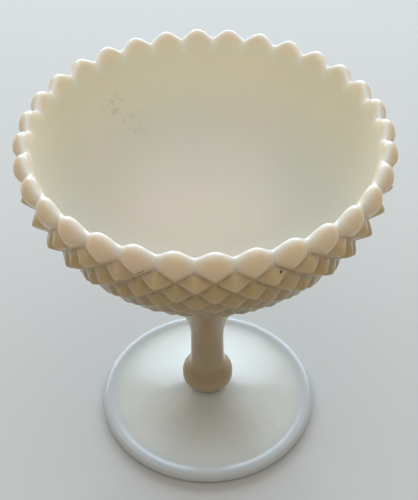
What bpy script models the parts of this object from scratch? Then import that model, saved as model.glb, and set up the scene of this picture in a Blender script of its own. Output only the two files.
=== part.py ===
"""Footed bowl of pressed milk glass: scalloped saw-tooth bowl, turned stem and round foot.

The origin is at the centre of the foot's resting face and +Z is the axis of the whole piece.
Every part is turned or patterned about that axis, and the parts stand on each other, foot first.
"""
import math

import bmesh
import bpy

# Overall sizes, in metres
OVERALL_HEIGHT = 0.2425      # table to the tips of the rim lobes
RIM_RADIUS = 0.1040          # circle through the tips of the rim lobes
FOOT_RADIUS = 0.0757         # widest circle of the foot
TOUCH_GAP = 0.0003           # gap kept between two parts that rest on each other

# Bowl, outside
LOBE_COUNT = 32              # lobes on the rim, and teeth in each row
GROOVE_OUTSET = 0.0012       # rim tips out to the groove curve, sideways
GROOVE_DEPTH = 0.1000        # rim tips down to the bottom of the groove curve
BELLY_POWER = 2.26           # 2 makes the bowl's curves elliptic, and more makes them fuller
NOTCH_DEPTH = 0.0055         # rim tips down to the notches between lobes
NOTCH_INSET = 0.0012         # rim tips in to the notches, sideways
NOTCH_TO_CROSSING = 0.0075   # notches down to the first crossing of the grooves
ROW_RATIO = 0.99             # row spacing over half the tooth width
TOOTH_RATIO = 0.30           # tooth height over tooth width, in the upper rows
TOOTH_LEAST = 0.30           # share of that height left in the lower rows
TOOTH_FULL_ROW = 2           # last row of full teeth
TOOTH_LOW_ROW = 5            # first row of the lowest teeth
TOOTH_DROOP = 0.5            # how much of the surface's downward slope the teeth follow
LOBE_BULGE = 0.0056          # lobes' height over the groove curve
LIP_BULGE = 0.0024           # the same at the top edge of a lobe
BULGE_PLACE = 0.38           # where a lobe is fattest, from its tip to its point
COLLAR_RADIUS = 0.0275       # plain collar under the bowl
COLLAR_MARGIN = 0.0045       # collar to the innermost row of teeth
COLLAR_DROP = 0.0072         # bottom of the groove curve down to the collar's face

# Bowl, inside
WALL = 0.0058                # groove curve to the inner face at the rim
FLOOR_WALL = 0.0082          # groove curve to the inner curve at the bottom
LIP_DROP = 0.0014            # lobe's crown down to its outer and inner edges
FLOOR_RADIUS = 0.0150        # flat disc in the bottom of the bowl
FLOOR_RING_RADIUS = 0.0185   # ring where the floor's short slope starts
FLOOR_SINK = 0.0008          # flat disc below that ring

# Joining wafers
BOWL_WAFER_THICKNESS = 0.0024
BOWL_WAFER_OVERHANG = 0.0006
FOOT_WAFER_THICKNESS = 0.0020
FOOT_WAFER_OVERHANG = 0.0008

# Stem, heights measured up from its own lower face
STEM_BASE_RADIUS = 0.0112
KNOP_RADIUS = 0.0176
KNOP_BELLY_LOW = 0.0055
KNOP_BELLY_TOP = 0.0098
KNOP_TOP = 0.0194
KNOP_TOP_RADIUS = 0.0121
NECK_RADIUS = 0.0111
NECK_RISE = 0.0250           # top of the knop up to the narrowest place
FLARE_POWER = 1.1
SHOULDER_POWER = 0.8

# Foot
FOOT_CROWN = 0.0190          # table to the flat seat under the stem
FOOT_SEAT_MARGIN = 0.0010    # flat seat beyond the wafer that stands on it
BAND_WIDTH = 0.0098          # raised rounded band round the edge
BAND_TOP = 0.0068
BAND_STEP = 0.0009           # band's top above the surface inside it
FOOT_EDGE_HEIGHT = 0.0036    # height of the widest circle
REST_OUTER_INSET = 0.0030    # widest circle to the resting ring, sideways
REST_WIDTH = 0.0056          # width of the flat resting ring
FOOT_CURVE = 1.9             # 1 makes the foot a straight cone, and more hollows it
FOOT_WALL = 0.0060           # flat seat down to the underside of the foot
RECESS_FLAT_RADIUS = 0.014
RECESS_STEP = 0.0022         # height of the resting ring's inner side

# Fineness of the meshes
LOBE_STEPS = 6               # columns in a lobe
LOBE_ROWS = 4
INNER_ROWS = 12
BOWL_COLUMNS = 2 * LOBE_COUNT
STEM_COLUMNS = 48
FOOT_COLUMNS = 64

# Where the parts stand
GROOVE_RADIUS = RIM_RADIUS + GROOVE_OUTSET
FIRST_CROSSING = NOTCH_DEPTH + NOTCH_TO_CROSSING
PATTERN_END_RADIUS = COLLAR_RADIUS + COLLAR_MARGIN
COLLAR_FACE = OVERALL_HEIGHT - GROOVE_DEPTH - COLLAR_DROP
BOWL_WAFER_BASE = COLLAR_FACE - TOUCH_GAP - BOWL_WAFER_THICKNESS
STEM_TOP = BOWL_WAFER_BASE - TOUCH_GAP
FOOT_WAFER_BASE = FOOT_CROWN + TOUCH_GAP
FOOT_WAFER_RADIUS = STEM_BASE_RADIUS + FOOT_WAFER_OVERHANG
FOOT_SEAT_RADIUS = FOOT_WAFER_RADIUS + FOOT_SEAT_MARGIN
RECESS_HEIGHT = FOOT_CROWN - FOOT_WALL
STEM_BASE = FOOT_WAFER_BASE + FOOT_WAFER_THICKNESS + TOUCH_GAP


def clear_scene():
    for item in list(bpy.data.objects):
        bpy.data.objects.remove(item, do_unlink=True)


def milk_glass(name, colour, roughness):
    material = bpy.data.materials.new(name)
    material.use_nodes = True
    shader = material.node_tree.nodes["Principled BSDF"]
    shader.inputs["Base Color"].default_value = (*colour, 1.0)
    shader.inputs["Roughness"].default_value = roughness
    shader.inputs["Metallic"].default_value = 0.0
    return material


def add_part(name, bm, material, smooth_angle, height=0.0):
    """Turn a finished bmesh into a named object that stands at the given height."""
    bmesh.ops.recalc_face_normals(bm, faces=bm.faces)
    mesh = bpy.data.meshes.new(name)
    bm.to_mesh(mesh)
    bm.free()
    mesh.materials.append(material)
    mesh.shade_smooth()
    mesh.set_sharp_from_angle(angle=math.radians(smooth_angle))
    part = bpy.data.objects.new(name, mesh)
    part.location.z = height
    bpy.context.collection.objects.link(part)
    return part


def ring(bm, columns, radius, height, turn=0.0):
    """One circle of vertices about the Z axis."""
    circle = []
    for column in range(columns):
        angle = turn + 2 * math.pi * column / columns
        circle.append(bm.verts.new((radius * math.cos(angle), radius * math.sin(angle), height)))
    return circle


def bridge(bm, fine, coarse):
    """Join two circles of vertices; fine has a whole number of vertices for each one of coarse."""
    share = len(fine) // len(coarse)
    for column, corner in enumerate(coarse):
        following = coarse[(column + 1) % len(coarse)]
        start = column * share
        middle = share // 2
        for step in range(share):
            near = fine[start + step]
            far = fine[(start + step + 1) % len(fine)]
            bm.faces.new((near, far, corner if step < middle else following))
            if step == middle - 1 or share == 1:
                bm.faces.new((far if share > 1 else near, following, corner))


def turned_body(bm, profile, columns):
    """Closed solid of revolution; profile lists (radius, height) between two flat end discs."""
    circles = [ring(bm, columns, radius, height) for radius, height in profile]
    bm.faces.new(circles[0])
    for upper, lower in zip(circles, circles[1:]):
        bridge(bm, upper, lower)
    bm.faces.new(circles[-1])


def s_curve(share):
    """Smooth rise from 0 to 1."""
    return 0.5 - 0.5 * math.cos(math.pi * share)


# ---- Bowl -------------------------------------------------------------------------------------

def belly_point(rim_radius, full_depth, turn):
    """Radius and depth on a bowl curve; turn goes from 0 at the rim to a right angle at the axis."""
    power = 2 / BELLY_POWER
    return rim_radius * math.cos(turn) ** power, full_depth * math.sin(turn) ** power


def depth_turn(depth, full_depth):
    """The turn at which a bowl curve has this depth."""
    return math.asin((depth / full_depth) ** (BELLY_POWER / 2))


def groove_point(turn):
    """Radius and depth on the curve that the grooves' bottoms lie on, with its outward normal."""
    radius, depth = belly_point(GROOVE_RADIUS, GROOVE_DEPTH, turn)
    across = (radius / GROOVE_RADIUS) ** (BELLY_POWER - 1) / GROOVE_RADIUS
    down = (depth / GROOVE_DEPTH) ** (BELLY_POWER - 1) / GROOVE_DEPTH
    length = math.hypot(across, down)
    return radius, depth, across / length, down / length


def row_turns():
    """Places of the rows down the groove curve, spaced like the teeth's own width."""
    nudge = 0.001
    turns = [depth_turn(FIRST_CROSSING, GROOVE_DEPTH)]
    while True:
        turn = turns[-1]
        here = belly_point(GROOVE_RADIUS, GROOVE_DEPTH, turn)
        near = belly_point(GROOVE_RADIUS, GROOVE_DEPTH, turn + nudge)
        spacing = ROW_RATIO * math.pi * here[0] / LOBE_COUNT
        following = turn + nudge * spacing / math.dist(here, near)
        if belly_point(GROOVE_RADIUS, GROOVE_DEPTH, following)[0] < PATTERN_END_RADIUS:
            return turns
        turns.append(following)


def bowl_vertex(bm, angle, turn, height_over):
    """Vertex that stands height_over above the groove curve, outwards and a little down."""
    radius, depth, across, down = groove_point(turn)
    lean = math.atan2(TOOTH_DROOP * down, across)
    radius += height_over * math.cos(lean)
    depth += height_over * math.sin(lean)
    height = OVERALL_HEIGHT - depth
    return bm.verts.new((radius * math.cos(angle), radius * math.sin(angle), height))


def lobe_bulge(side, share):
    """Lobe's height over the groove curve: side is -1 to 1 across it, share 0 to 1 down it."""
    if share < BULGE_PLACE:
        edge = LIP_BULGE / LOBE_BULGE
        along = 1 - (1 - edge) * ((BULGE_PLACE - share) / BULGE_PLACE) ** 2.4
    else:
        along = 1 - ((share - BULGE_PLACE) / (1 - BULGE_PLACE)) ** 1.5
    across = (1 - side * side) ** 0.9
    return LOBE_BULGE * along * across


def lobe_side(column):
    """Place across its lobe, -1 to 1, of a fine column; column 0 is at a lobe's tip."""
    return 2 * (((column / LOBE_STEPS) + 0.5) % 1.0) - 1


def scallop(side):
    """Depth of the rim's crown below the tips."""
    return NOTCH_DEPTH * abs(side) ** 1.6


def lobe_rows(bm, turns):
    """Fine rows of vertices over the lobes, from the rim's outer edge to the first grooves."""
    columns = LOBE_COUNT * LOBE_STEPS
    first, second = turns[0], turns[1]
    rows = []
    for row in range(LOBE_ROWS + 1):
        share = row / LOBE_ROWS
        circle = []
        for column in range(columns):
            side = lobe_side(column)
            top = depth_turn(scallop(side) + LIP_DROP, GROOVE_DEPTH)
            bottom = first + (second - first) * (1 - abs(side))
            turn = top + (bottom - top) * share
            angle = 2 * math.pi * column / columns
            circle.append(bowl_vertex(bm, angle, turn, lobe_bulge(side, share)))
        rows.append(circle)
    return rows


def tooth_share(row):
    """Share of the full tooth height that a row's teeth have."""
    fading = (row - TOOTH_FULL_ROW) / (TOOTH_LOW_ROW - TOOTH_FULL_ROW)
    return 1 - (1 - TOOTH_LEAST) * s_curve(min(1.0, max(0.0, fading)))


def tooth_row(bm, turn, row):
    """Row of half-tooth columns: groove crossings and tooth points by turns."""
    circle = []
    width = 2 * math.pi * groove_point(turn)[0] / LOBE_COUNT
    for column in range(BOWL_COLUMNS):
        is_point = (row + column) % 2 == 0
        over = TOOTH_RATIO * width * tooth_share(row) if is_point else 0.0
        angle = 2 * math.pi * column / BOWL_COLUMNS
        circle.append(bowl_vertex(bm, angle, turn, over))
    return circle


def fill_first_row(bm, border, row):
    """Upper faces of the first teeth, from the lobes' zigzag border down to the row's points."""
    half = LOBE_STEPS // 2
    for column in range(1, BOWL_COLUMNS, 2):
        point = row[column]
        for step in range(-half, half):
            near = border[(column * half + step) % len(border)]
            far = border[(column * half + step + 1) % len(border)]
            bm.faces.new((near, far, point))


def fill_teeth(bm, upper, lower, row):
    """Faces between two rows, split along the groove that crosses each of them."""
    for column in range(BOWL_COLUMNS):
        following = (column + 1) % BOWL_COLUMNS
        a, b = upper[column], upper[following]
        c, d = lower[following], lower[column]
        if (row + column) % 2 == 0:
            bm.faces.new((a, b, d))
            bm.faces.new((b, c, d))
        else:
            bm.faces.new((a, b, c))
            bm.faces.new((a, c, d))


def rim_circle(bm, radius, drop, lip):
    """Scalloped circle of the rim, radius wide at the notches and lip wider at the tips."""
    columns = LOBE_COUNT * LOBE_STEPS
    circle = []
    for column in range(columns):
        side = lobe_side(column)
        angle = 2 * math.pi * column / columns
        reach = radius + lip * (1 - side * side)
        height = OVERALL_HEIGHT - scallop(side) - drop
        circle.append(bm.verts.new((reach * math.cos(angle), reach * math.sin(angle), height)))
    return circle


def inner_profile():
    """Radius and depth down the inside, from just below the rim to the flat floor."""
    inner_radius = GROOVE_RADIUS - WALL
    inner_depth = GROOVE_DEPTH - FLOOR_WALL
    start = depth_turn(NOTCH_DEPTH + 4 * LIP_DROP, inner_depth)
    end = math.acos((FLOOR_RING_RADIUS / inner_radius) ** (BELLY_POWER / 2))
    profile = []
    for row in range(INNER_ROWS + 1):
        turn = start + (end - start) * row / INNER_ROWS
        profile.append(belly_point(inner_radius, inner_depth, turn))
    profile.append((FLOOR_RADIUS, profile[-1][1] + FLOOR_SINK))
    return profile


def make_bowl(material):
    bm = bmesh.new()
    turns = row_turns()
    lobes = lobe_rows(bm, turns)
    for upper, lower in zip(lobes, lobes[1:]):
        bridge(bm, upper, lower)

    border = lobes[-1]
    half = LOBE_STEPS // 2
    rows = [tooth_row(bm, turn, row) for row, turn in enumerate(turns[1:], start=1)]
    for column in range(0, BOWL_COLUMNS, 2):
        bm.verts.remove(rows[0][column])
        rows[0][column] = border[column * half]
    fill_first_row(bm, border, rows[0])
    for row, (upper, lower) in enumerate(zip(rows, rows[1:]), start=1):
        fill_teeth(bm, upper, lower, row)

    collar_top = ring(bm, BOWL_COLUMNS, COLLAR_RADIUS, COLLAR_FACE + 0.6 * COLLAR_DROP)
    collar_face = ring(bm, BOWL_COLUMNS, COLLAR_RADIUS, COLLAR_FACE)
    bridge(bm, rows[-1], collar_top)
    bridge(bm, collar_top, collar_face)
    bm.faces.new(collar_face)

    crown = rim_circle(bm, RIM_RADIUS - NOTCH_INSET, 0.0, NOTCH_INSET)
    inner_lip = rim_circle(bm, GROOVE_RADIUS - WALL, LIP_DROP, NOTCH_INSET)
    bridge(bm, lobes[0], crown)
    bridge(bm, crown, inner_lip)
    previous = inner_lip
    for radius, depth in inner_profile():
        circle = ring(bm, BOWL_COLUMNS, radius, OVERALL_HEIGHT - depth)
        bridge(bm, previous, circle)
        previous = circle
    bm.faces.new(previous)
    return add_part("bowl", bm, material, smooth_angle=24)


# ---- Stem, foot and wafers --------------------------------------------------------------------

def stem_profile():
    """Radius and height from the stem's top face down to its lower face."""
    length = STEM_TOP - STEM_BASE
    neck = KNOP_TOP + NECK_RISE
    profile = []
    flare_steps = 11
    for step in range(flare_steps):
        share = 1 - step / flare_steps
        swell = (COLLAR_RADIUS - NECK_RADIUS) * s_curve(share) ** FLARE_POWER
        profile.append((NECK_RADIUS + swell, neck + (length - neck) * share))
    profile.append((NECK_RADIUS, neck))
    shoulder_steps = 7
    for step in range(shoulder_steps + 1):
        share = step / shoulder_steps
        swell = s_curve(share) ** SHOULDER_POWER
        radius = KNOP_TOP_RADIUS + (KNOP_RADIUS - KNOP_TOP_RADIUS) * swell
        profile.append((radius, KNOP_TOP + (KNOP_BELLY_TOP - KNOP_TOP) * share))
    root_steps = 4
    for step in range(root_steps + 1):
        share = 1 - step / root_steps
        radius = STEM_BASE_RADIUS + (KNOP_RADIUS - STEM_BASE_RADIUS) * math.sin(0.5 * math.pi * share)
        profile.append((radius, KNOP_BELLY_LOW * share))
    return profile


def make_stem(material):
    bm = bmesh.new()
    turned_body(bm, stem_profile(), STEM_COLUMNS)
    return add_part("stem", bm, material, smooth_angle=40, height=STEM_BASE)


def foot_profile():
    """Radius and height from the seat under the stem, over the edge, to the recess below."""
    band_inner = FOOT_RADIUS - BAND_WIDTH
    slope_end = BAND_TOP - BAND_STEP
    profile = []
    slope_steps = 9
    for step in range(slope_steps + 1):
        share = step / slope_steps
        radius = FOOT_SEAT_RADIUS + (band_inner - FOOT_SEAT_RADIUS) * share
        profile.append((radius, slope_end + (FOOT_CROWN - slope_end) * (1 - share) ** FOOT_CURVE))
    band_steps = 6
    for step in range(1, band_steps + 1):
        share = step / band_steps
        radius = band_inner + BAND_WIDTH * s_curve(share) ** 0.9
        fall = max(0.0, share - 0.45) / 0.55
        rise = min(1.0, share / 0.3)
        height = slope_end + BAND_STEP * s_curve(rise)
        height -= (BAND_TOP - FOOT_EDGE_HEIGHT) * (1 - math.sqrt(1 - fall * fall))
        profile.append((radius, height))
    rest_outer = FOOT_RADIUS - REST_OUTER_INSET
    rest_inner = rest_outer - REST_WIDTH
    profile.append((FOOT_RADIUS - 0.3 * REST_OUTER_INSET, 0.35 * FOOT_EDGE_HEIGHT))
    profile.append((rest_outer, 0.0))
    profile.append((rest_inner, 0.0))
    recess_edge = rest_inner - RECESS_STEP
    recess_steps = 7
    for step in range(recess_steps + 1):
        share = step / recess_steps
        radius = recess_edge + (RECESS_FLAT_RADIUS - recess_edge) * share
        height = RECESS_STEP + (RECESS_HEIGHT - RECESS_STEP) * share ** FOOT_CURVE
        profile.append((radius, height))
    return profile


def make_foot(material):
    bm = bmesh.new()
    turned_body(bm, foot_profile(), FOOT_COLUMNS)
    return add_part("foot", bm, material, smooth_angle=35)


def make_wafer(name, radius, thickness, base, material):
    """Thin round-edged disc of glass that joins two parts."""
    bm = bmesh.new()
    round_in = 0.35 * thickness
    profile = [
        (radius - round_in, thickness),
        (radius, thickness - round_in),
        (radius, round_in),
        (radius - round_in, 0.0),
    ]
    turned_body(bm, profile, STEM_COLUMNS)
    return add_part(name, bm, material, smooth_angle=50, height=base)


def main():
    clear_scene()
    bowl_glass = milk_glass("bowl_glass", (0.62, 0.55, 0.44), 0.22)
    stem_glass = milk_glass("stem_glass", (0.50, 0.46, 0.38), 0.22)
    foot_glass = milk_glass("foot_glass", (0.66, 0.72, 0.74), 0.20)
    bowl_wafer_glass = milk_glass("bowl_wafer_glass", (0.55, 0.50, 0.42), 0.25)
    foot_wafer_glass = milk_glass("foot_wafer_glass", (0.60, 0.62, 0.58), 0.25)

    make_foot(foot_glass)
    make_wafer("foot_wafer", FOOT_WAFER_RADIUS, FOOT_WAFER_THICKNESS, FOOT_WAFER_BASE,
               foot_wafer_glass)
    make_stem(stem_glass)
    make_wafer("bowl_wafer", COLLAR_RADIUS + BOWL_WAFER_OVERHANG, BOWL_WAFER_THICKNESS,
               BOWL_WAFER_BASE, bowl_wafer_glass)
    make_bowl(bowl_glass)


main()
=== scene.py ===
"""Looks for the footed bowl of pressed milk glass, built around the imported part.

Every CAD node is replaced by a finely modelled piece of the same size in the same place: the
scalloped saw-tooth bowl, the turned stem, the hollow-curved foot and the wafers that join them.
The real object is fused glass, so neighbouring pieces run into each other by a hair.
"""

import math

import bmesh
import bpy
import numpy as np
from mathutils import Matrix, Vector


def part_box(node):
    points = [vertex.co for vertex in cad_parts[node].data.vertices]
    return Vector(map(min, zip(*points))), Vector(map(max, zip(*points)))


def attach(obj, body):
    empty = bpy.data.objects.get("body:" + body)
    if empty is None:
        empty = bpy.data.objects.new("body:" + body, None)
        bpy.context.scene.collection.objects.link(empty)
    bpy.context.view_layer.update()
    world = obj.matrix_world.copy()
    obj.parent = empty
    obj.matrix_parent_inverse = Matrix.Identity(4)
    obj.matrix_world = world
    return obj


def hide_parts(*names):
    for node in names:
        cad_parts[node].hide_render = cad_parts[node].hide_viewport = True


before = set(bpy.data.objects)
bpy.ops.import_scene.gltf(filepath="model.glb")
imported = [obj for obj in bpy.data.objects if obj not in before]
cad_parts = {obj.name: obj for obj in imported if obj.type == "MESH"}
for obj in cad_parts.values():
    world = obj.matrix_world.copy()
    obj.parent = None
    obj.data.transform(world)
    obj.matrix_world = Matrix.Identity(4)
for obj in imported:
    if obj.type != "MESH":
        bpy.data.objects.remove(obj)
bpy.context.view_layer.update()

# ---- Sizes, in metres -------------------------------------------------------------------------

BOWL_LOW, BOWL_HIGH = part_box("bowl")
BOWL_WAFER_LOW, BOWL_WAFER_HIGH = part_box("bowl_wafer")
STEM_LOW, STEM_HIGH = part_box("stem")
FOOT_WAFER_LOW, FOOT_WAFER_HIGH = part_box("foot_wafer")
FOOT_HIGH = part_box("foot")[1]
TOP = BOWL_HIGH.z
FUSE = 0.0003                # how far a piece runs into its neighbour

# Bowl, outside; depths are measured down from the rim's tips
CROWN_SHARE = 0.942          # radius of the rim's crown over the lobes' widest radius
RIM_RADIUS = CROWN_SHARE * BOWL_HIGH.x
LOBE_COUNT = 32
GROOVE_OUTSET = 0.0012       # how far outside the crown the groove curve starts
GROOVE_RADIUS = RIM_RADIUS + GROOVE_OUTSET
GROOVE_DEPTH = 0.1000        # depth of the bottom of the groove curve
BELLY_POWER = 2.26           # 2 makes the bowl's curves elliptic, and more makes them fuller
NOTCH_DEPTH = 0.0055
NOTCH_INSET = 0.0012
NOTCH_TO_CROSSING = 0.0075   # from a notch down to the first crossing of the grooves
FIRST_CROSSING = NOTCH_DEPTH + NOTCH_TO_CROSSING
ROW_RATIO = 0.99             # row spacing over half the tooth width
TOOTH_RATIO = 0.340          # height of an unrounded tooth over its width, in the upper rows
TOOTH_LEAST = 0.30           # share of that height left in the lower rows
TOOTH_FULL_ROW = 2           # last row of full teeth
TOOTH_LOW_ROW = 5            # first row of the lowest teeth
TOOTH_DROOP = 0.5            # how much of the surface's downward slope the teeth follow
TOOTH_SINK = 0.04            # how far rounding may sink a groove, over the tooth's height
RIDGE_ROUND = 0.13           # softness of a tooth's point and ridges
RIDGE_POWER = 3.6            # lower makes a tooth's ridges rounder
LIP_DROP = 0.0014            # from the crown down to the top of a lobe's outer curve
LOBE_BULGE = 0.0054          # how far a lobe's fattest place stands over the groove curve
BULGE_PLACE = 0.38           # that place, as a share of the way down the lobe
SADDLE_ROUND = 0.45          # softness of the valleys between lobes, at the rim
CREASE_ROUND = 0.02          # softness of the creases they become lower down
COLLAR_INSET = 0.0006        # how far the collar and the stem stand inside the wafer
COLLAR_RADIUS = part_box("bowl_wafer")[1].x - COLLAR_INSET
COLLAR_SWEEP = 0.0045        # least spread of the plain part under the teeth
PATTERN_END_RADIUS = COLLAR_RADIUS + COLLAR_SWEEP

# Bowl, inside
RIM_WALL = 0.0058            # from the groove curve in to the inside, at the rim
FLOOR_WALL = 0.0082          # the same at the bottom
INNER_RADIUS = GROOVE_RADIUS - RIM_WALL
INNER_DEPTH = GROOVE_DEPTH - FLOOR_WALL
ROLL_DEPTH = 0.0060          # from a notch down to where the inside becomes plain
INNER_START = NOTCH_DEPTH + ROLL_DEPTH
FLOOR_RADIUS = 0.0150
FLOOR_RING_RADIUS = 0.0185
FLOOR_SINK = 0.0005

CROWN_HIGHLIGHT_FADE = 0.0025           # how far the painted highlight on the crown fades out
CREASE_SHADE_START = 0.72            # closeness to a groove at which its painted shade starts

# Marks on the bowl: each stain's place and radius, a chip, and the ends of a dark flaw
STAINS = (((-0.0608, 0.0729, 0.2094), 0.003), ((-0.0528, 0.0771, 0.2053), 0.005),
          ((-0.0481, 0.0760, 0.1972), 0.004), ((-0.0406, 0.0767, 0.1915), 0.005))
CHIP = (0.0341, -0.1001, 0.2236)
CHIP_RADIUS, CHIP_SOFT = 0.0006, 0.0005
FLAW_START = (-0.0402, -0.1001, 0.2263)
FLAW_END = (-0.0365, -0.1015, 0.2296)
FLAW_SPOTS = 6
FLAW_RADIUS, FLAW_SOFT = 0.0003, 0.0004

# Stem, heights measured up from its own lower face
STEM_BASE_RADIUS = 0.0112
KNOP_RADIUS = 0.0176
KNOP_BELLY_LOW = 0.0055
KNOP_BELLY_TOP = 0.0098
KNOP_TOP = 0.0194
KNOP_TOP_RADIUS = 0.0121
NECK_RADIUS = 0.0111
NECK_RISE = 0.0250           # from the knop's top up to the narrowest place
FLARE_POWER = 1.1            # more keeps the neck narrow for longer
SHOULDER_POWER = 0.8         # less makes the knop's shoulder fuller

# Foot
FOOT_RADIUS = FOOT_HIGH.x
FOOT_CROWN = FOOT_HIGH.z
SEAT_MARGIN = 0.0010         # how far the seat reaches past the wafer
FOOT_SEAT_RADIUS = FOOT_WAFER_HIGH.x + SEAT_MARGIN
FOOT_CURVE = 1.9             # 1 makes the foot a straight cone, and more hollows it
BAND_WIDTH = 0.0098          # the rounded band round the foot's edge
BAND_TOP = 0.0068
BAND_STEP = 0.0006           # how far the band stands over the end of the slope
BAND_ROUND = 0.0048
FOOT_EDGE_HEIGHT = 0.0036
REST_OUTER_INSET = 0.0030    # the flat ring that the foot rests on
REST_WIDTH = 0.0056
CROWN_WALL = 0.0060          # glass left over the hollow, in the middle
RECESS_HEIGHT = FOOT_CROWN - CROWN_WALL
RECESS_TOP_RADIUS = 0.004
RECESS_STEP = 0.0022

# Wafers, as shares of half the thickness and of the radius
WAFER_ROUND = 0.8
WAFER_CAP = 0.6

# Mould seams on the turned pieces, with their angles in degrees
SEAM_ANGLES = (-38.0, 82.0, 202.0)
SEAM_HEIGHT = 0.00004
SEAM_WIDTH = 0.0011
SEAM_FACING = -0.2           # a seam shows where the surface faces at least this far upwards

# Fineness: each side of a tooth is HALF_TOOTH cells long
HALF_TOOTH = 12
TOOTH_COLUMNS = 2 * HALF_TOOTH
FINE_COLUMNS = TOOTH_COLUMNS * LOBE_COUNT
LOBE_ROWS = 14
CROWN_ROWS = 10
COLLAR_ROWS = 10
INNER_ROWS = 60
INNER_COLUMNS = FINE_COLUMNS // 4
TURNED_COLUMNS = 144
SEAM_COLUMNS = (-0.016, -0.008, -0.004, 0.0, 0.004, 0.008, 0.016)   # radians about a seam
FLARE_ROWS, NECK_ROWS, KNOP_ROWS = 40, 8, 24
SLOPE_ROWS, BAND_ROWS, EDGE_ROWS, REST_EDGE_ROWS, REST_ROWS, RECESS_ROWS = 40, 14, 18, 12, 4, 30
WAFER_ROWS = 16
STEM_SOFTENING, FOOT_SOFTENING = 6, 3    # rounds of smoothing along the profile


# ---- Mesh helpers -----------------------------------------------------------------------------

def finish_piece(name, points, faces, material, fields, slot):
    """Make a smooth closed mesh from points and faces, with one float attribute for each field."""
    mesh = bpy.data.meshes.new(name)
    mesh.from_pydata([tuple(point) for point in points], [], faces)
    bm = bmesh.new()
    bm.from_mesh(mesh)
    bmesh.ops.recalc_face_normals(bm, faces=bm.faces)
    bm.to_mesh(mesh)
    bm.free()
    for field, values in fields.items():
        layer = mesh.attributes.new(field, "FLOAT", "POINT")
        layer.data.foreach_set("value", np.asarray(values, dtype=np.float32))
    mesh.shade_smooth()
    mesh.materials.append(material)
    piece = bpy.data.objects.new(name, mesh)
    bpy.context.collection.objects.link(piece)
    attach(piece, "root")
    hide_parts(slot[0])
    return piece


def bridge(upper, lower):
    """Faces between two rings of point numbers; upper has a whole multiple of lower's points."""
    share = len(upper) // len(lower)
    faces = []
    for column, corner in enumerate(lower):
        following = lower[(column + 1) % len(lower)]
        start = column * share
        fan = [upper[(start + step) % len(upper)] for step in range(share + 1)]
        if share == 1:
            faces.append((fan[0], fan[1], following, corner))
            continue
        middle = share // 2
        for step in range(share):
            faces.append((fan[step], fan[step + 1], corner if step < middle else following))
        faces.append((fan[middle], following, corner))
    return faces


def around(reach, angle, height):
    """Points at the given distances from the axis, angles and heights."""
    return np.stack([reach * np.cos(angle), reach * np.sin(angle), height], axis=-1)


def shares(steps):
    """Shares from 0 to 1 in even steps, both ends included."""
    return [step / steps for step in range(steps + 1)]


def s_curve(share):
    """0 to 1, smooth at both ends."""
    return 0.5 - 0.5 * np.cos(np.pi * np.clip(share, 0, 1))


class Shell:
    """The bowl's points, fields and faces, gathered part by part."""

    def __init__(self):
        self.count = 0
        self.points = []
        self.faces = []
        self.fields = {"groove": [], "edge": [], "inside": []}

    def add(self, points, **values):
        """Add points, with 0 in each field that isn't given, and return their numbers."""
        numbers = list(range(self.count, self.count + len(points)))
        self.count += len(points)
        self.points.append(points)
        for field, parts in self.fields.items():
            parts.append(np.broadcast_to(values.get(field, 0.0), len(points)))
        return numbers

    def add_rings(self, start, profile, columns, **values):
        """Skin from a ring of numbers along a (radius, height) profile, closed by one last face."""
        angle = 2 * math.pi * np.arange(columns) / columns
        previous = start
        for radius, height in profile:
            current = self.add(around(radius, angle, np.full(columns, height)), **values)
            self.faces += bridge(previous, current)
            previous = current
        self.faces.append(tuple(previous))


# ---- Bowl -------------------------------------------------------------------------------------

def belly(rim_radius, full_depth, turn):
    """Radius and depth on a bowl curve, at a turn of 0 at the rim to a right angle at the axis."""
    power = 2 / BELLY_POWER
    return rim_radius * np.cos(turn) ** power, full_depth * np.sin(turn) ** power


def depth_turn(depth, full_depth):
    """Turn at a depth on a bowl curve."""
    return np.arcsin((depth / full_depth) ** (BELLY_POWER / 2))


def radius_turn(radius, rim_radius):
    """Turn at a radius on a bowl curve."""
    return math.acos((radius / rim_radius) ** (BELLY_POWER / 2))


def over_grooves(angle, turn, over):
    """Points that stand the given height over the groove curve, outwards and a little down."""
    radius, depth = belly(GROOVE_RADIUS, GROOVE_DEPTH, turn)
    across = (radius / GROOVE_RADIUS) ** (BELLY_POWER - 1) / GROOVE_RADIUS
    down = (depth / GROOVE_DEPTH) ** (BELLY_POWER - 1) / GROOVE_DEPTH
    lean = np.arctan2(TOOTH_DROOP * down, across)
    return around(radius + over * np.cos(lean), angle, TOP - depth - over * np.sin(lean))


def row_turns():
    """Places of the rows of groove crossings down the bowl."""
    nudge = 0.001
    turns = [float(depth_turn(FIRST_CROSSING, GROOVE_DEPTH))]
    while True:
        here = belly(GROOVE_RADIUS, GROOVE_DEPTH, turns[-1])
        near = belly(GROOVE_RADIUS, GROOVE_DEPTH, turns[-1] + nudge)
        spacing = ROW_RATIO * math.pi * here[0] / LOBE_COUNT
        following = turns[-1] + nudge * spacing / math.dist(here, near)
        if belly(GROOVE_RADIUS, GROOVE_DEPTH, following)[0] < PATTERN_END_RADIUS:
            return turns
        turns.append(following)


def between_rows(turns, row):
    """Turn at any place between the rows, on a smooth curve through them."""
    knots = np.array([2 * turns[0] - turns[1], *turns, 2 * turns[-1] - turns[-2]])
    whole = np.clip(np.floor(row).astype(int), 0, len(turns) - 2)
    part = row - whole
    a, b, c, d = (knots[whole + step] for step in range(4))
    bend = (3 * b - a - 3 * c + d) * part + (2 * a - 5 * b + 4 * c - d)
    return b + 0.5 * part * ((c - a) + part * bend)


def lobe_side(column):
    """Place across its lobe, -1 to 1, of a fine column; column 0 is at a lobe's tip."""
    return 2 * ((column / TOOTH_COLUMNS + 0.5) % 1.0) - 1


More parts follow.
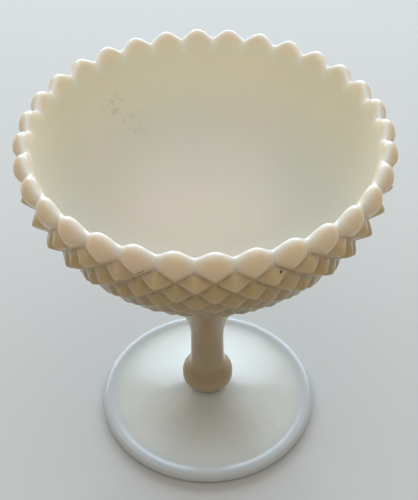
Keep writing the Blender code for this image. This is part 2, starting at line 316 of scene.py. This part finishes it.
def lobe_over(side, share):
    """Lobe's height over the groove curve, from its fattest place down to its lower point."""
    falling = (share - BULGE_PLACE) / (1 - BULGE_PLACE)
    across = (1 - side * side) ** 0.9
    # The valley between two lobes is a smooth saddle near the rim and a crease lower down
    valley = SADDLE_ROUND * (1 - falling) ** 2 + CREASE_ROUND
    across = (np.sqrt(across ** 2 + valley ** 2) - valley) / (math.sqrt(1 + valley ** 2) - valley)
    return LOBE_BULGE * (1 - falling ** 1.5) * across


def tooth_over(column, row, radius):
    """Height over the groove curve of the saw-tooth field, and closeness to a groove, 0 to 1."""
    first = np.abs((column + row + 1) % 2 - 1)
    second = np.abs((column - row + 1) % 2 - 1)
    nearest = (first ** RIDGE_POWER + second ** RIDGE_POWER) ** (1 / RIDGE_POWER)
    rounded = np.sqrt(nearest ** 2 + RIDGE_ROUND ** 2)
    fading = s_curve((row - TOOTH_FULL_ROW) / (TOOTH_LOW_ROW - TOOTH_FULL_ROW))
    height = TOOTH_RATIO * 2 * math.pi * radius / LOBE_COUNT * (1 - (1 - TOOTH_LEAST) * fading)
    return height * np.maximum(1 - rounded, -TOOTH_SINK), np.maximum(first, second)


def scallop(side):
    """Depth of the rim's crown below the tips: round lobes with softer notches between."""
    place = np.abs(side)
    return NOTCH_DEPTH * (0.5 * place ** 1.5 + 0.5 * s_curve(place ** 1.15))


def upper_strip(turns):
    """Rows from the first grooves up the lobes, over the domed crown and down to the inside."""
    column = np.arange(FINE_COLUMNS)
    angle = 2 * math.pi * column / FINE_COLUMNS
    side = lobe_side(column)
    top = depth_turn(scallop(side) + LIP_DROP, GROOVE_DEPTH)
    bottom = between_rows(turns, 1 - np.abs(side))
    rows, groove = [], []
    for step in range(LOBE_ROWS, -1, -1):
        share = BULGE_PLACE + (1 - BULGE_PLACE) * step / LOBE_ROWS
        turn = top + (bottom - top) * share
        rows.append(over_grooves(angle, turn, lobe_over(side, share)))
        # Painted shade lies in the crease between two lobes and along their lower edges
        groove.append(np.maximum(np.abs(side) ** 10 * s_curve(share * 2 - 0.4), share ** 16))

    # A quarter of an ellipse up to the crown, and another down to the inner wall
    outer = rows[-1]
    outer_reach = np.hypot(outer[:, 0], outer[:, 1])
    crown_reach = RIM_RADIUS - NOTCH_INSET * side * side
    crown_height = TOP - scallop(side)
    inner_reach, depth = belly(INNER_RADIUS, INNER_DEPTH, depth_turn(INNER_START, INNER_DEPTH))
    quarters = [(outer_reach, outer[:, 2], False), (inner_reach, TOP - depth, True)]
    for wall_reach, wall_height, is_inner in quarters:
        for share in shares(CROWN_ROWS)[1:]:
            swing = 0.5 * math.pi * (1 - share if is_inner else share)
            reach = crown_reach + (wall_reach - crown_reach) * math.cos(swing)
            height = wall_height + (crown_height - wall_height) * math.sin(swing)
            rows.append(around(reach, angle, height))
            groove.append(np.zeros(FINE_COLUMNS))
    rows = np.array(rows)
    crown = around(crown_reach, angle, crown_height)
    # Painted highlight: a mask that whitens the crown, fading with distance from it
    edge = np.exp(-np.linalg.norm(rows - crown, axis=2) / (CROWN_HIGHLIGHT_FADE * (1 + 2 * side ** 4)))
    inside = [0.0] * (LOBE_ROWS + 1 + CROWN_ROWS)
    inside += [float(s_curve(share)) for share in shares(CROWN_ROWS)[1:]]
    return rows, np.array(groove), edge, np.array(inside)


def lobe_end(column):
    """Lattice step at which the lobes end and the teeth start, in a fine column."""
    return HALF_TOOTH - abs((column + HALF_TOOTH) % TOOTH_COLUMNS - HALF_TOOTH)


def add_teeth(shell, turns, strip_end):
    """Saw teeth: a lattice whose edges run along the grooves. Returns its lowest ring."""
    last_row = len(turns) - 1
    last = HALF_TOOTH * last_row
    known = {(lobe_end(column), column): int(strip_end[column]) for column in range(FINE_COLUMNS)}
    fresh = [(step, column) for step in range(last + 1)
             for column in range(step % 2, FINE_COLUMNS, 2) if step > lobe_end(column)]
    row, column = np.array(fresh).T / HALF_TOOTH
    turn = between_rows(turns, row)
    over, nearness = tooth_over(column, row, belly(GROOVE_RADIUS, GROOVE_DEPTH, turn)[0])
    over = over * np.clip(last_row - row, 0, 1)    # the last row runs out into the plain collar
    # Painted shade: darker towards the grooves between the teeth, for the creases' shade
    groove = np.clip((nearness - CREASE_SHADE_START) / (1 - CREASE_SHADE_START), 0, 1) ** 2
    points = over_grooves(column * math.pi / LOBE_COUNT, turn, over)
    known.update(zip(fresh, shell.add(points, groove=groove)))
    for step in range(1, last + 1):
        for column in range((step + 1) % 2, FINE_COLUMNS, 2):
            left = known.get((step, (column - 1) % FINE_COLUMNS))
            right = known.get((step, (column + 1) % FINE_COLUMNS))
            above = known.get((step - 1, column))
            below = known.get((step + 1, column))
            if None in (left, right, above):
                continue
            if step == last:
                shell.faces.append((above, left, right))
            elif below is not None:
                shell.faces.append((above, left, below, right))
    return [known[last, column] for column in range(0, FINE_COLUMNS, 2)]


def collar_profile(turns):
    """Radius and height of the plain collar, from the last row down into the wafer."""
    end_radius, end_depth = belly(GROOVE_RADIUS, GROOVE_DEPTH, turns[-1])
    collar_height = BOWL_LOW.z - FUSE
    drop = TOP - end_depth - collar_height
    profile = []
    for share in shares(COLLAR_ROWS)[1:]:
        swing = 0.5 * math.pi * share
        radius = COLLAR_RADIUS + (end_radius - COLLAR_RADIUS) * (1 - math.sin(swing))
        profile.append((radius, collar_height + drop * math.cos(swing)))
    return profile


def inner_profile():
    """Radius and height down the smooth inside, ending at the flat floor."""
    start = depth_turn(INNER_START, INNER_DEPTH)
    end = radius_turn(0.5 * FLOOR_RADIUS, INNER_RADIUS)
    turns = start + (end - start) * np.arange(1, INNER_ROWS + 1) / INNER_ROWS
    radius, depth = belly(INNER_RADIUS, INNER_DEPTH, turns)
    step = s_curve((FLOOR_RING_RADIUS - radius) / (FLOOR_RING_RADIUS - FLOOR_RADIUS))
    floor_depth = belly(INNER_RADIUS, INNER_DEPTH, radius_turn(FLOOR_RADIUS, INNER_RADIUS))[1]
    depth = np.minimum(depth, floor_depth) + FLOOR_SINK * step
    return list(zip(radius, TOP - depth))


def make_bowl(material):
    turns = row_turns()
    rows, groove, edge, inside = upper_strip(turns)
    shell = Shell()
    numbers = shell.add(rows.reshape(-1, 3), groove=groove.ravel(), edge=edge.ravel(),
                        inside=np.repeat(inside, FINE_COLUMNS))
    rings = np.array(numbers).reshape(rows.shape[:2]).tolist()
    for upper, lower in zip(rings, rings[1:]):
        shell.faces += bridge(upper, lower)
    lowest = add_teeth(shell, turns, rings[0])
    shell.add_rings(lowest, collar_profile(turns), len(lowest))
    shell.add_rings(rings[-1], inner_profile(), INNER_COLUMNS, inside=1.0)
    fields = {field: np.concatenate(parts) for field, parts in shell.fields.items()}
    return finish_piece("bowl_glass_body", np.concatenate(shell.points), shell.faces, material,
                        fields, ("bowl", "bowl_glass"))


# ---- Stem, wafers and foot --------------------------------------------------------------------

def seam_columns():
    """Angles of a turned piece's columns, with close ones about each mould seam."""
    angles = {round(2 * math.pi * step / TURNED_COLUMNS, 9) for step in range(TURNED_COLUMNS)}
    for seam in SEAM_ANGLES:
        middle = math.radians(seam) % (2 * math.pi)
        angles |= {round(middle + offset, 9) for offset in SEAM_COLUMNS}
    return np.array(sorted(angles))


def turned_piece(name, profile, material, slot):
    """Closed solid of revolution from (radius, height) points, with faint mould seams."""
    angles = seam_columns()
    places = np.array(profile)
    radius, height = places[:, :1], places[:, 1:]
    away = np.min([np.abs((angles - math.radians(seam) + math.pi) % (2 * math.pi) - math.pi)
                   for seam in SEAM_ANGLES], axis=0)
    seams = np.exp(-(away * radius / (0.5 * SEAM_WIDTH)) ** 2)
    rows = around(radius, angles, np.broadcast_to(height, seams.shape))

    # Each seam stands a hair over the surface, along the profile's own normal, save underneath
    slopes = np.gradient(places, axis=0)
    lengths = np.maximum(np.linalg.norm(slopes, axis=1), 1e-9)
    outward = slopes[:, ::-1] * np.array([-1, 1]) / lengths[:, None]
    lift = SEAM_HEIGHT * seams * (outward[:, 1] > SEAM_FACING)[:, None]
    rows[:, :, 0] += lift * outward[:, :1] * np.cos(angles)
    rows[:, :, 1] += lift * outward[:, :1] * np.sin(angles)
    rows[:, :, 2] += lift * outward[:, 1:]
    rings = np.arange(seams.size).reshape(seams.shape).tolist()
    faces = [tuple(rings[0])]
    for upper, lower in zip(rings, rings[1:]):
        faces += bridge(upper, lower)
    faces.append(tuple(rings[-1]))
    return finish_piece(name, rows.reshape(-1, 3), faces, material, {"seam": seams.ravel()}, slot)


def softened(profile, rounds):
    """The same profile with its corners rounded; the ends stay."""
    places = np.array(profile)
    for _ in range(rounds):
        places[1:-1] = 0.25 * places[:-2] + 0.5 * places[1:-1] + 0.25 * places[2:]
    return [tuple(place) for place in places]


def make_stem(material):
    low = STEM_LOW.z
    length = STEM_HIGH.z - low
    neck = KNOP_TOP + NECK_RISE
    profile = [(COLLAR_RADIUS, length + FUSE)]
    for share in shares(FLARE_ROWS)[:-1]:
        rise = 1 - share
        swell = (COLLAR_RADIUS - NECK_RADIUS) * float(s_curve(rise)) ** FLARE_POWER
        profile.append((NECK_RADIUS + swell, neck + (length - neck) * rise))
    for share in shares(NECK_ROWS)[:-1]:
        radius = NECK_RADIUS + (KNOP_TOP_RADIUS - NECK_RADIUS) * share ** 2
        profile.append((radius, neck - NECK_RISE * share))
    for share in shares(KNOP_ROWS):
        swell = float(s_curve(share)) ** SHOULDER_POWER
        radius = KNOP_TOP_RADIUS + (KNOP_RADIUS - KNOP_TOP_RADIUS) * swell
        profile.append((radius, KNOP_TOP + (KNOP_BELLY_TOP - KNOP_TOP) * share))
    for share in shares(KNOP_ROWS):
        rise = 1 - share
        swell = math.sin(0.5 * math.pi * rise)
        radius = STEM_BASE_RADIUS + (KNOP_RADIUS - STEM_BASE_RADIUS) * swell
        profile.append((radius, KNOP_BELLY_LOW * rise))
    profile.append((STEM_BASE_RADIUS, -FUSE))
    placed = [(radius, low + height) for radius, height in softened(profile, STEM_SOFTENING)]
    return turned_piece("stem_glass_body", placed, material, ("stem", "stem_glass"))


def make_foot(material):
    band_inner = FOOT_RADIUS - BAND_WIDTH
    shoulder = FOOT_RADIUS - BAND_ROUND
    slope_end = BAND_TOP - BAND_STEP
    rest_outer = FOOT_RADIUS - REST_OUTER_INSET
    recess_edge = rest_outer - REST_WIDTH - RECESS_STEP

    # From the wafer down the slope, over the band, round the edge, under the rest and up inside
    profile = [(0.5 * FOOT_SEAT_RADIUS, FOOT_CROWN)]
    for share in shares(SLOPE_ROWS):
        radius = FOOT_SEAT_RADIUS + (band_inner - FOOT_SEAT_RADIUS) * share
        profile.append((radius, slope_end + (FOOT_CROWN - slope_end) * (1 - share) ** FOOT_CURVE))
    for share in shares(BAND_ROWS)[1:]:
        radius = band_inner + (shoulder - band_inner) * share
        profile.append((radius, slope_end + BAND_STEP * float(s_curve(share))))
    for share in shares(EDGE_ROWS)[1:]:
        swing = 0.5 * math.pi * share
        height = FOOT_EDGE_HEIGHT + (BAND_TOP - FOOT_EDGE_HEIGHT) * math.cos(swing)
        profile.append((shoulder + BAND_ROUND * math.sin(swing), height))
    for share in shares(REST_EDGE_ROWS)[1:]:
        swing = 0.5 * math.pi * share
        radius = rest_outer + REST_OUTER_INSET * math.cos(swing)
        profile.append((radius, FOOT_EDGE_HEIGHT * (1 - math.sin(swing))))
    for share in shares(REST_ROWS)[1:]:
        profile.append((rest_outer - REST_WIDTH * share, 0.0))
    for share in shares(RECESS_ROWS):
        radius = recess_edge + (RECESS_TOP_RADIUS - recess_edge) * share
        height = RECESS_STEP + (RECESS_HEIGHT - RECESS_STEP) * share ** FOOT_CURVE
        profile.append((radius, height))
    return turned_piece("foot_glass_body", softened(profile, FOOT_SOFTENING), material,
                        ("foot", "foot_glass"))


def make_wafer(name, low, high, material, slot):
    """Round-edged disc that runs into the pieces above and below it."""
    radius = high.x
    bottom, top = low.z - FUSE, high.z + FUSE
    half = 0.5 * (top - bottom)
    profile = [(WAFER_CAP * radius, top)]
    for share in shares(WAFER_ROWS):
        swing = math.pi * share
        reach = radius - WAFER_ROUND * half * (1 - math.sin(swing))
        profile.append((reach, top - half * (1 - math.cos(swing))))
    profile.append((WAFER_CAP * radius, bottom))
    return turned_piece(name, profile, material, slot)


# ---- Materials --------------------------------------------------------------------------------

# Shares of the way that each mark takes the glass to its own colour
CLOUD_SHARE = 0.25
# The next share darkens the grooves with painted shade
CREASE_SHADE_SHARE = 0.6
STAIN_SHARE = 0.24
SHADE_SHARE = 0.6
SPECK_SHARE = 0.25
SEAM_SHARE = 0.06

# Depths below the rim between which one colour turns into the next, in metres
LOBES_TO_SHADED_TEETH = (0.004, 0.030)
TEETH_TO_DEEPEST_SHADE = (0.022, 0.072)
INSIDE_LIGHT_TO_SHADE = (0.005, 0.080)

# Foot: where the middle's colour ends, and where the shade by the floor starts and is full
MIDDLE_INSET, MIDDLE_SOFT = 0.008, 0.014
MIDDLE_RADIUS = FOOT_RADIUS - BAND_WIDTH - MIDDLE_INSET
SHADE_HEIGHTS = (0.0032, 0.0008)

# Opal glass itself
GLASS_IOR = 1.5
SCATTER_RADIUS = (1.0, 0.9, 0.75)
SCATTER_SCALE = 0.006
WAVE_DEPTH = 0.0003
BOWL_ROUGHNESS, TURNED_ROUGHNESS = 0.16, 0.14
CLOUD_ROUGHNESS, INSIDE_ROUGHNESS = 0.12, 0.12    # added where it is cloudy, and inside the bowl
BOWL_SCATTER, TURNED_SCATTER = 0.35, 0.30


def linear(red, green, blue):
    """Colour in Blender's linear values from the usual 0 to 255 ones."""
    parts = []
    for part in (red, green, blue):
        part /= 255
        parts.append(part / 12.92 if part <= 0.04045 else ((part + 0.055) / 1.055) ** 2.4)
    return (*parts, 1.0)


class Glass:
    """Node graph of one opal glass material."""

    def __init__(self, name):
        self.material = bpy.data.materials.new(name)
        self.material.use_nodes = True
        self.tree = self.material.node_tree
        self.shader = self.tree.nodes["Principled BSDF"]
        self.place = self.tree.nodes.new("ShaderNodeTexCoord").outputs["Object"]

    def link(self, value, socket):
        if isinstance(value, (int, float, tuple)):
            socket.default_value = value
        else:
            self.tree.links.new(value, socket)

    def math(self, kind, first, second):
        node = self.tree.nodes.new("ShaderNodeMath")
        node.operation = kind
        self.link(first, node.inputs[0])
        self.link(second, node.inputs[1])
        return node.outputs[0]

    def plus(self, base, mask, amount):
        """The base value, with the amount added where the mask is 1."""
        return self.math("ADD", base, self.math("MULTIPLY", mask, amount))

    def mix(self, share, first, second):
        node = self.tree.nodes.new("ShaderNodeMix")
        node.data_type = "RGBA"
        self.link(share, node.inputs["Factor"])
        self.link(first, node.inputs[6])
        self.link(second, node.inputs[7])
        return node.outputs[2]

    def tint(self, colour, mask, share, second):
        """The colour, taken a share of the way to the second where the mask is 1."""
        return self.mix(self.math("MULTIPLY", mask, share), colour, second)

    def field(self, name):
        node = self.tree.nodes.new("ShaderNodeAttribute")
        node.attribute_name = name
        return node.outputs["Fac"]

    def noise(self, scale, detail, rough, seed):
        node = self.tree.nodes.new("ShaderNodeTexNoise")
        node.noise_dimensions = "4D"
        self.link(self.place, node.inputs["Vector"])
        node.inputs["W"].default_value = seed
        node.inputs["Scale"].default_value = scale
        node.inputs["Detail"].default_value = detail
        node.inputs["Roughness"].default_value = rough
        return node.outputs["Fac"]

    def rise(self, value, start, end):
        """0 at start and 1 at end, smooth between; end may be the lower one."""
        node = self.tree.nodes.new("ShaderNodeMapRange")
        node.interpolation_type = "SMOOTHSTEP"
        self.link(value, node.inputs["Value"])
        node.inputs["From Min"].default_value = start
        node.inputs["From Max"].default_value = end
        return node.outputs["Result"]

    def height(self):
        node = self.tree.nodes.new("ShaderNodeSeparateXYZ")
        self.link(self.place, node.inputs[0])
        return node.outputs["Z"]

    def depth_rise(self, depths):
        """0 above the first depth below the rim and 1 under the second."""
        return self.rise(self.height(), TOP - depths[0], TOP - depths[1])

    def near(self, place, radius, soft):
        """1 within radius of a place, fading to 0 over soft."""
        node = self.tree.nodes.new("ShaderNodeVectorMath")
        node.operation = "DISTANCE"
        self.link(self.place, node.inputs[0])
        node.inputs[1].default_value = place
        return self.math("SUBTRACT", 1.0, self.rise(node.outputs["Value"], radius, radius + soft))

    def finish(self, colour, roughness, wave, scatter):
        """Set the shader: fire-polished opal glass with light scattered just under its skin."""
        self.link(colour, self.shader.inputs["Base Color"])
        self.link(roughness, self.shader.inputs["Roughness"])
        self.shader.inputs["IOR"].default_value = GLASS_IOR
        self.shader.inputs["Subsurface Weight"].default_value = scatter
        self.shader.inputs["Subsurface Radius"].default_value = SCATTER_RADIUS
        self.shader.inputs["Subsurface Scale"].default_value = SCATTER_SCALE
        bump = self.tree.nodes.new("ShaderNodeBump")
        bump.inputs["Strength"].default_value = 1.0
        bump.inputs["Distance"].default_value = WAVE_DEPTH
        self.link(wave, bump.inputs["Height"])
        self.link(bump.outputs["Normal"], self.shader.inputs["Normal"])
        return self.material


def bowl_glass():
    glass = Glass("bowl_opal_glass")
    broad = glass.rise(glass.noise(9.0, 3.0, 0.5, 1.0), 0.35, 0.65)
    cloud = glass.rise(glass.noise(28.0, 4.0, 0.6, 2.0), 0.3, 0.75)
    fine = glass.noise(260.0, 3.0, 0.6, 3.0)

    # Outside: pinkish cream lobes, turning honey-coloured and darker down the teeth; partly the
    # glass's warm tone and partly painted shade on the bowl's shaded underside
    lobes = glass.mix(broad, linear(242, 219, 175), linear(243, 216, 178))
    teeth = glass.mix(broad, linear(208, 184, 136), linear(202, 177, 130))
    lowest = glass.mix(cloud, linear(162, 138, 92), linear(146, 121, 78))
    outside = glass.mix(glass.depth_rise(LOBES_TO_SHADED_TEETH), lobes, teeth)
    outside = glass.mix(glass.depth_rise(TEETH_TO_DEEPEST_SHADE), outside, lowest)

    # Inside: warm near the rim, and greenish to pinkish grey further down; also painted light,
    # lighter near the rim and darker lower down to even out the lamps' light
    upper = glass.mix(broad, linear(250, 242, 216), linear(251, 241, 218))
    lower = glass.mix(broad, linear(218, 222, 217), linear(226, 221, 216))
    inner = glass.mix(glass.depth_rise(INSIDE_LIGHT_TO_SHADE), upper, lower)
    inner = glass.tint(inner, cloud, CLOUD_SHARE, linear(226, 226, 212))
    colour = glass.mix(glass.field("inside"), outside, inner)

    # Painted shade held in the grooves, and a painted highlight on the rim's crown, which passes
    # the light
    crease_shade = glass.math("MULTIPLY", glass.field("groove"), glass.rise(fine, 0.25, 0.7))
    colour = glass.tint(colour, crease_shade, CREASE_SHADE_SHARE, linear(126, 92, 52))
    # Painted highlight: the crown whitened, standing in for light shining through the thin glass
    colour = glass.mix(glass.field("edge"), colour, linear(255, 254, 250))

    # Old stains inside, a chip in a tooth and a dark flaw under a lobe
    for place, radius in STAINS:
        spots = glass.rise(fine, 0.5, 0.7)
        patch = glass.math("MULTIPLY", glass.near(place, radius, radius), spots)
        colour = glass.tint(colour, patch, STAIN_SHARE, linear(150, 128, 84))
    colour = glass.mix(glass.near(CHIP, CHIP_RADIUS, CHIP_SOFT), colour, linear(34, 22, 12))
    for share in shares(FLAW_SPOTS - 1):
        place = tuple(Vector(FLAW_START).lerp(Vector(FLAW_END), share))
        colour = glass.mix(glass.near(place, FLAW_RADIUS, FLAW_SOFT), colour, linear(60, 38, 18))

    # Glossy, duller where it is cloudy and on the inside
    roughness = glass.plus(BOWL_ROUGHNESS, cloud, CLOUD_ROUGHNESS)
    roughness = glass.plus(roughness, glass.field("inside"), INSIDE_ROUGHNESS)
    return glass.finish(colour, roughness, glass.noise(60.0, 2.0, 0.5, 4.0), BOWL_SCATTER)


def turned_glass(name, first, second, marks, seed, band=None):
    """Turned glass: two close tints, faint specks and mould seams; band tints a foot's rim."""
    glass = Glass(name)
    broad = glass.rise(glass.noise(14.0, 3.0, 0.5, seed), 0.35, 0.65)
    cloud = glass.noise(90.0, 4.0, 0.6, seed + 1)
    colour = glass.mix(broad, first, second)
    if band:
        middle = glass.near((0.0, 0.0, BAND_TOP), MIDDLE_RADIUS, MIDDLE_SOFT)
        colour = glass.mix(middle, band, colour)
        shade = glass.rise(glass.height(), *SHADE_HEIGHTS)
        colour = glass.tint(colour, shade, SHADE_SHARE, linear(196, 184, 150))
    specks = glass.rise(glass.noise(420.0, 2.0, 0.5, seed + 2), 0.70, 0.78)
    colour = glass.tint(colour, specks, SPECK_SHARE, marks)
    colour = glass.tint(colour, glass.field("seam"), SEAM_SHARE, marks)
    roughness = glass.plus(TURNED_ROUGHNESS, cloud, CLOUD_ROUGHNESS)
    return glass.finish(colour, roughness, glass.noise(50.0, 2.0, 0.5, seed + 3), TURNED_SCATTER)


# ---- Stage ------------------------------------------------------------------------------------

FLOOR_HALF = 20.0
FLOOR_COLOUR = (0.62, 0.62, 0.61, 1.0)
FLOOR_ROUGHNESS = 0.7
SKY_COLOUR = (1.0, 0.96, 0.90, 1.0)
SKY_STRENGTH = 0.27

# The photo's angle, found by fitting a camera to the rim's lobes and the foot's outline
CAMERA_PLACE = (-0.0201, -0.4826, 0.6036)
CAMERA_FORWARD = (0.0328, 0.7255, -0.6875)
CAMERA_ROLL = -0.0086
CAMERA_LENS = 75.7
SENSOR_WIDTH = 36.0


def make_floor():
    material = bpy.data.materials.new("floor_paint")
    material.use_nodes = True
    shader = material.node_tree.nodes["Principled BSDF"]
    shader.inputs["Base Color"].default_value = FLOOR_COLOUR
    shader.inputs["Roughness"].default_value = FLOOR_ROUGHNESS
    mesh = bpy.data.meshes.new("floor")
    corners = [(-1, -1), (1, -1), (1, 1), (-1, 1)]
    mesh.from_pydata([(FLOOR_HALF * x, FLOOR_HALF * y, 0) for x, y in corners], [], [(0, 1, 2, 3)])
    mesh.materials.append(material)
    floor = bpy.data.objects.new("floor", mesh)
    bpy.context.collection.objects.link(floor)


def area_light(name, place, target, size, power, colour):
    light = bpy.data.lights.new(name, "AREA")
    light.shape = "RECTANGLE"
    light.size, light.size_y = size
    light.energy = power
    light.color = colour
    lamp = bpy.data.objects.new(name, light)
    lamp.location = place
    aim = Vector(target) - Vector(place)
    lamp.rotation_euler = aim.to_track_quat("-Z", "Y").to_euler()
    bpy.context.collection.objects.link(lamp)


def make_lights():
    area_light("window", place=(0.10, 2.6, 1.30), target=(0, 0, 0.10), size=(4.4, 1.8), power=108,
               colour=(0.72, 0.87, 1.0))
    area_light("ceiling", place=(0.0, -0.1, 2.6), target=(0, 0, 0.15), size=(4.0, 4.0), power=41,
               colour=(1.0, 0.95, 0.87))
    world = bpy.data.worlds.new("studio")
    world.use_nodes = True
    sky = world.node_tree.nodes["Background"]
    sky.inputs["Color"].default_value = SKY_COLOUR
    sky.inputs["Strength"].default_value = SKY_STRENGTH
    bpy.context.scene.world = world


def make_camera():
    camera = bpy.data.cameras.new("camera")
    camera.sensor_width = SENSOR_WIDTH
    camera.lens = CAMERA_LENS
    holder = bpy.data.objects.new("camera", camera)
    aim = Vector(CAMERA_FORWARD).normalized().to_track_quat("-Z", "Y").to_matrix().to_4x4()
    turn = aim @ Matrix.Rotation(CAMERA_ROLL, 4, "Z")
    holder.matrix_world = Matrix.Translation(CAMERA_PLACE) @ turn
    bpy.context.collection.objects.link(holder)
    bpy.context.scene.camera = holder


make_bowl(bowl_glass())
# Wafers and stem: a darker tan than the foot, partly the glass's warm tone and partly painted shade
# from under the bowl
make_wafer("bowl_wafer_glass_body", BOWL_WAFER_LOW, BOWL_WAFER_HIGH,
           turned_glass("bowl_wafer_opal_shaded", linear(176, 154, 120), linear(168, 146, 112),
                        linear(120, 96, 62), 20.0),
           ("bowl_wafer", "bowl_wafer_glass"))
make_stem(turned_glass("stem_opal_shaded", linear(183, 159, 124), linear(176, 151, 117),
                       linear(140, 120, 90), 30.0))
make_wafer("foot_wafer_glass_body", FOOT_WAFER_LOW, FOOT_WAFER_HIGH,
           turned_glass("foot_wafer_opal_shaded", linear(184, 164, 134), linear(176, 156, 126),
                        linear(130, 120, 100), 40.0),
           ("foot_wafer", "foot_wafer_glass"))
make_foot(turned_glass("foot_opal", linear(217, 218, 212), linear(211, 211, 203),
                       linear(150, 145, 130), 50.0, band=linear(198, 203, 205)))
make_floor()
make_lights()
make_camera()
bpy.context.scene.view_settings.view_transform = "Standard"
